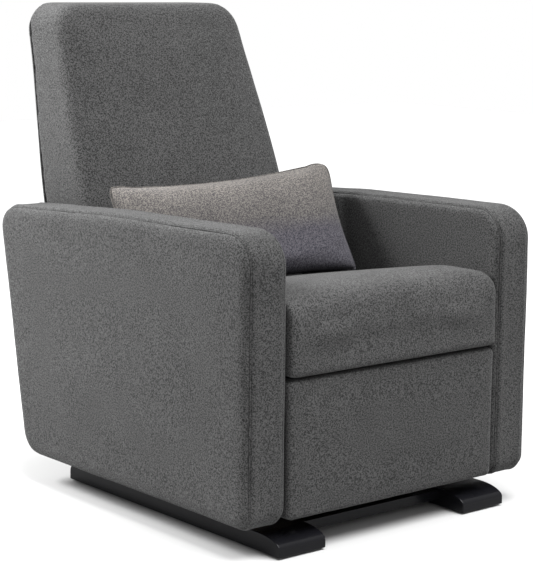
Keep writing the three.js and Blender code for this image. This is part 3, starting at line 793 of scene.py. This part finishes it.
def add_outside_back(cloth):
    """The thin cover over the back's rear, with a welt where it meets the cushion."""
    low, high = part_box("outside_back")
    corners = back_outline(
        low.z - OUTSIDE_BACK_OVERHANG,
        OUTSIDE_BACK_SHOULDER_Z,
        high.z + OUTSIDE_BACK_RISE,
        -OUTSIDE_BACK_INSET,
        OUTSIDE_BACK_TOP_RADIUS,
    )
    profile, _ = edge_profile(OUTSIDE_BACK_THICKNESS, 0.008, 0.002)

    def place(u, v, depth):
        outside_y = high.y + BACK_REAR_SLOPE * (v - high.z) + back_flare(v)
        return np.stack([u, outside_y - depth, v], 1)

    panel = slab("outside_back_cover", corners, profile, (0.001, 0.0), place, cloth)
    path = seam_path(corners, ((0.0005, OUTSIDE_BACK_DEPTH - 0.0005), (-1, 0)), 0.0, place)
    cord = welt("outside_back_welt", path, WELT_RADIUS, cloth)
    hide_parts("outside_back")
    for piece in (panel, cord):
        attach(piece, "backrest")


# ---- Rear panel and footrest ----
REAR_PANEL_THICKNESS = 0.012
REAR_PANEL_RADIUS = 0.006
FOOTREST_SETBACK = 0.002
FOOTREST_BULGE = 0.004
FOOTREST_RISE = 0.0025
FOOTREST_BOTTOM_RADIUS = 0.014
FOOTREST_TOP_RADIUS = 0.012
BOARD_CLEARANCE = 0.0006


def panel_corners(low, high, bottom_radius, top_radius):
    """An upright rectangle in (x, z) with rounded corners."""
    return [
        (low.x, low.z, bottom_radius),
        (high.x, low.z, bottom_radius),
        (high.x, high.z, top_radius),
        (low.x, high.z, top_radius),
    ]


def add_rear_panel(cloth):
    """The fixed cover that closes the seat's rear, leaning rearwards."""
    low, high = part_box("rear_lower_panel")
    corners = panel_corners(low, high, REAR_PANEL_RADIUS, REAR_PANEL_RADIUS)
    lean = (high.y - low.y - REAR_PANEL_THICKNESS) / (high.z - low.z)
    profile, _ = edge_profile(REAR_PANEL_THICKNESS, 0.006, 0.003)

    def place(u, v, depth):
        return np.stack([u, low.y + REAR_PANEL_THICKNESS + lean * (v - low.z) - depth, v], 1)

    panel = slab("rear_panel_cover", corners, profile, (0.002, 0.0), place, cloth)
    wobble(panel, 0.0006, 0.09, 3)
    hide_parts("rear_lower_panel")
    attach(panel, "seat")


def add_footrest(cloth):
    """A pad wrapped round the edges of its board, with a pocket in its back that the board lies in."""
    low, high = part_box("footrest_pad")
    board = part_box("footrest_board")[0]
    top = high + Vector((0, 0, FOOTREST_RISE))
    corners = panel_corners(low, top, FOOTREST_BOTTOM_RADIUS, FOOTREST_TOP_RADIUS)
    front = low.y + FOOTREST_SETBACK
    thickness = high.y - low.y - FOOTREST_SETBACK
    profile, _ = edge_profile(thickness, 0.008, 0.003)
    pocket = board.x - low.x
    profile.append((pocket - 2 * BOARD_CLEARANCE, thickness))
    profile.append((pocket - BOARD_CLEARANCE, board.y - front - 0.0005))

    def place(u, v, depth):
        return np.stack([u, front + depth, v], 1)

    pad = slab("footrest_pad_cover", corners, profile, (FOOTREST_BULGE, 0.0), place, cloth)
    wobble(pad, 0.001, 0.14, 7)
    wobble(pad, 0.0004, 0.04, 9)
    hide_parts("footrest_pad")
    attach(pad, "footrest_panel")


# ---- Lumbar pillow ----
# The size is width, height and thickness. The tucks round off its corners and the waist draws in its edges.
PILLOW_SIZE = (0.548, 0.270, 0.108)
PILLOW_YAW = math.radians(-16.2)
PILLOW_LEAN = math.radians(26.2)
PILLOW_ROLL = math.radians(4.8)
PILLOW_SHIFT = (-0.0070, 0.0, -0.0030)
PILLOW_LOWER_TUCK = 0.028
PILLOW_UPPER_TUCKS = (0.050, 0.085)
PILLOW_WAIST = (0.053, 0.155)
PILLOW_SAG = 0.5
PILLOW_GIVE = (0.0015, 0.0015, 0.007)
PILLOW_STEPS = (96, 48)
PILLOW_GAP = 0.002
PILLOW_WELT_RADIUS = 0.0013
# How far above and below the pillow's middle its painted light and shade fades from dark to light.
PILLOW_FADE = 0.12


def pillow_frame():
    """The pillow's centre, and its turn from (width, height, thickness) axes to the chair's."""
    low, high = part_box("lumbar_pillow")
    turn = Matrix.Rotation(PILLOW_YAW, 3, "Z") @ Matrix.Rotation(math.pi / 2 - PILLOW_LEAN, 3, "X")
    centre = (low + high) / 2 + Vector(PILLOW_SHIFT)
    return centre, turn @ Matrix.Rotation(PILLOW_ROLL, 3, "Z")


def pillow_painted_shading(paint):
    """Painted light and shade: lighter and warmer at the pillow's top edge, which faces up to the light,
    darker and cooler at its lower one, which lies in shade.
    """
    centre, turn = pillow_frame()
    up = turn @ Vector((0, 1, 0))
    along = paint.vector("DOT_PRODUCT", paint.vector("SUBTRACT", paint.place, tuple(centre)), tuple(up))
    drift = paint.math("MULTIPLY", paint.noise(9, 3.0, 0.6), 0.05)
    along = paint.math("ADD", along, drift)
    share = paint.add("MapRange", None, Value=along, From_Min=-PILLOW_FADE, From_Max=PILLOW_FADE).outputs[0]
    # Painted shade stops: darkest and coolest low on the pillow, lightest and warmest at its top edge.
    return paint.ramp(share, [
        (0.10, (0.112, 0.110, 0.132)),
        (0.44, (0.098, 0.095, 0.113)),
        (0.62, (0.138, 0.132, 0.130)),
        (1.00, (0.170, 0.161, 0.153)),
    ])


def pillow_point(u, v, layer):
    """A stuffed knife-edged pillow: edges pulled in between rounded corners, its filling settled low.

    u and v run from -1 to 1 across and up; layer is -1 on one face and 1 on the other."""
    width, height, thickness = PILLOW_SIZE
    corner = PILLOW_LOWER_TUCK if v < 0 else PILLOW_UPPER_TUCKS[u > 0]
    tuck = 1 - corner * (u * v) ** 8
    x = u * tuck * (1 - PILLOW_WAIST[0] * (1 - v * v) * u * u) * width / 2
    y = v * tuck * (1 - PILLOW_WAIST[1] * (1 - u * u) * v * v) * height / 2
    full = ((1 - abs(u) ** 3.2) * (1 - abs(v) ** (2.2 if v > 0 else 6.0))) ** 0.62
    swelling = full * (1 - 0.12 * v) * thickness / 2
    return x, y - PILLOW_SAG * swelling * max(0, -v), layer * swelling


def pillow_mesh():
    """Points and quads of the pillow's two faces, which meet at its rim."""
    across, up = PILLOW_STEPS
    points, faces = [], []
    for layer in (-1, 1):
        first = len(points)
        for j in range(up + 1):
            for i in range(across + 1):
                points.append(pillow_point(2 * i / across - 1, 2 * j / up - 1, layer))
        for j in range(up):
            for i in range(across):
                at = first + j * (across + 1) + i
                faces.append((at, at + 1, at + across + 2, at + across + 1))
    return points, faces


def keep_off(points, other, gap):
    """Pushes points that lie inside another piece out to its surface."""
    tree = BVHTree.FromObject(other, bpy.context.evaluated_depsgraph_get())
    moved = points.copy()
    for index, point in enumerate(points):
        place, normal, _, _ = tree.find_nearest(Vector(point), 0.06)
        if place is not None and (Vector(point) - place).dot(normal) < gap:
            moved[index] = place + normal * gap
    return moved


def add_pillow(cloth, seat, back):
    """The loose pillow, lying against the seat and the back, with a welt round its rim."""
    centre, turn = pillow_frame()
    pillow = mesh_object("lumbar_pillow_cover", *pillow_mesh(), cloth)
    shape = coordinates(pillow)
    rim = np.flatnonzero(np.abs(shape[:, 2]) < 1e-6)
    rim = rim[np.argsort(np.arctan2(shape[rim, 1] / PILLOW_SIZE[1], shape[rim, 0] / PILLOW_SIZE[0]))]
    inflate(pillow, quality=6, mass=0.15, stiffness=30, bending=0.4, pressure=5, frames=18)
    shift = evened(pillow, coordinates(pillow) - shape, 3)
    shape += np.clip(shift, -np.array(PILLOW_GIVE), PILLOW_GIVE)
    placed = shape @ np.array(turn.transposed()) + np.array(centre)
    for other in (seat, back):
        placed = keep_off(placed, other, PILLOW_GAP)
    set_coordinates(pillow, placed)
    cord = welt("lumbar_pillow_seam", coordinates(pillow)[rim], PILLOW_WELT_RADIUS, cloth)
    refine(pillow, 1)
    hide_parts("lumbar_pillow")
    for piece in (pillow, cord):
        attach(piece, "pillow")


# ---- Runners ----
RAIL_EDGE_HEIGHT = 0.016
RAIL_NOSE = 0.066
RAIL_HEEL = 0.018
RAIL_SOFTENING = 0.002


def add_rail(side, lacquer):
    """A floor runner: square at the bottom, with an elliptic nose in front and a smaller one behind."""
    node = f"base_rail_{side}"
    low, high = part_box(node)
    edge_z = low.z + RAIL_EDGE_HEIGHT
    rise = high.z - edge_z
    turns = np.linspace(0, QUARTER_TURN, 17)
    outline = [(low.y, low.z), (high.y, low.z)]
    outline += [(high.y - RAIL_HEEL * (1 - math.cos(a)), edge_z + rise * math.sin(a)) for a in turns]
    outline += [(low.y + RAIL_NOSE * (1 - math.sin(a)), edge_z + rise * math.cos(a)) for a in turns]
    count = len(outline)
    points = [(x, y, z) for x in (low.x, high.x) for y, z in outline]
    faces = [tuple(range(count)), tuple(range(count, 2 * count))]
    faces += [(i, (i + 1) % count, count + (i + 1) % count, count + i) for i in range(count)]
    rail = mesh_object(f"{node}_lacquered", points, faces, lacquer)
    soften = rail.modifiers.new("soften", "BEVEL")
    soften.width = RAIL_SOFTENING
    soften.segments = 3
    soften.limit_method = "ANGLE"
    soften.angle_limit = math.radians(35)
    soften.harden_normals = False
    apply_modifiers(rail)
    crease = rail.modifiers.new("shade", "WEIGHTED_NORMAL")
    crease.keep_sharp = False
    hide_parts(node)
    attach(rail, "base")


# ---- CAD nodes that stay ----
HARDWOOD = ((0.30, 0.17, 0.08), (0.52, 0.34, 0.18))
PLYWOOD = ((0.42, 0.27, 0.13), (0.62, 0.44, 0.25))


def paint_nodes():
    """Gives every CAD node that stays the finish of the first word its name holds."""
    black = painted_steel()
    zinc = plated_steel("zinc_steel", grey(0.42), grey(0.66), 0.28)
    spring = plated_steel("spring_steel", grey(0.16), grey(0.30), 0.34)
    timber = sawn_wood("hardwood_rails", *HARDWOOD, along=1)
    cross_timber = sawn_wood("hardwood_cross", *HARDWOOD, along=0)
    board = sawn_wood("plywood", *PLYWOOD, along=0, plies=0.003)
    lacquer = lacquered_wood()
    pad = rubber()
    lining = woven_cloth("black_lining", grey(0.006), grey(0.016))
    finishes = [
        ("seat_front_rail", lining), ("seat_rear_rail", cross_timber), ("side_rail", timber),
        ("frame", timber), ("shaft", zinc), ("link", zinc), ("upright", black), ("hanger", black),
        ("spring", spring), ("bracket", black), ("plate", black), ("tube", black),
        ("footrest_board", board), ("floor_pad", pad), ("cross_bar", lacquer), ("base_rail", lacquer),
    ]
    for name, node in nodes.items():
        look = next((finish for word, finish in finishes if word in name), None)
        if look:
            node.data.materials.clear()
            node.data.materials.append(look)


# ---- Studio ----
FLOOR_REACH = 9
FLOOR_DROP = 0.0005
FLOOR_COLOUR = (*grey(0.36), 1)


def add_studio():
    bpy.context.scene.view_settings.view_transform = "Standard"
    add_floor()
    add_sky()
    add_top_light((0.14, -0.30, 1.0), 7.6, 42)
    add_side_light((-1.75, 1.60, 2.1), (-0.3, 0.0, 0.45), 212, 1.0)


def add_floor():
    mesh = bpy.data.meshes.new("floor")
    signs = ((-1, -1), (1, -1), (1, 1), (-1, 1))
    mesh.from_pydata([(x * FLOOR_REACH, y * FLOOR_REACH, 0) for x, y in signs], [], [(0, 1, 2, 3)])
    floor = bpy.data.objects.new("floor", mesh)
    floor.location.z = -FLOOR_DROP
    bpy.context.scene.collection.objects.link(floor)
    paint = Paint("studio_floor", Base_Color=FLOOR_COLOUR, Roughness=0.8, Specular_IOR_Level=0.1)
    mesh.materials.append(paint.material)
    floor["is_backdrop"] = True


def add_sky():
    """Even white light from all round."""
    world = bpy.data.worlds.new("studio")
    world.use_nodes = True
    background = world.node_tree.nodes["Background"]
    background.inputs["Color"].default_value = (1, 1, 1, 1)
    background.inputs["Strength"].default_value = 1.0
    bpy.context.scene.world = world


def add_top_light(towards, strength, width):
    """A soft light as wide as the given angle, shining from one direction all over the studio."""
    data = bpy.data.lights.new("top_light", "SUN")
    data.energy = strength
    data.angle = math.radians(width)
    hang(data, (0, 0, 3), towards)


def add_side_light(place, target, power, size):
    """A square soft box at a place, turned to a target."""
    data = bpy.data.lights.new("side_light", "AREA")
    data.energy = power
    data.size = size
    hang(data, place, Vector(place) - Vector(target))


def hang(data, place, away):
    """Puts a lamp in the studio, turned away from a direction."""
    lamp = bpy.data.objects.new(data.name, data)
    lamp.location = place
    lamp.rotation_euler = Vector(away).to_track_quat("Z", "Y").to_euler()
    bpy.context.scene.collection.objects.link(lamp)


# ---- The chair ----
add_camera()
add_studio()
upholstery = woven_cloth("charcoal_tweed", grey(0.012), grey(0.061))
# The pillow's cloth has painted light and shade: lighter and warmer at its top edge, darker and cooler at
# its lower one.
pillow_cloth = woven_cloth("pillow_tweed", (0.20, 0.20, 0.22), (0.72, 0.70, 0.67), pillow_painted_shading)
paint_nodes()
for side, sign in SIDES.items():
    add_arm(side, sign, upholstery)
    add_rail(side, nodes[f"base_rail_{side}"].data.materials[0])
seat = add_seat(upholstery)
back = add_back(upholstery)
add_outside_back(upholstery)
add_rear_panel(upholstery)
add_footrest(upholstery)
add_pillow(pillow_cloth, seat, back)

visual_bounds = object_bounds()
boxes = {"cad": cad_bounds, "visual": visual_bounds}
{name: [list(corner) for corner in box] for name, box in boxes.items()}
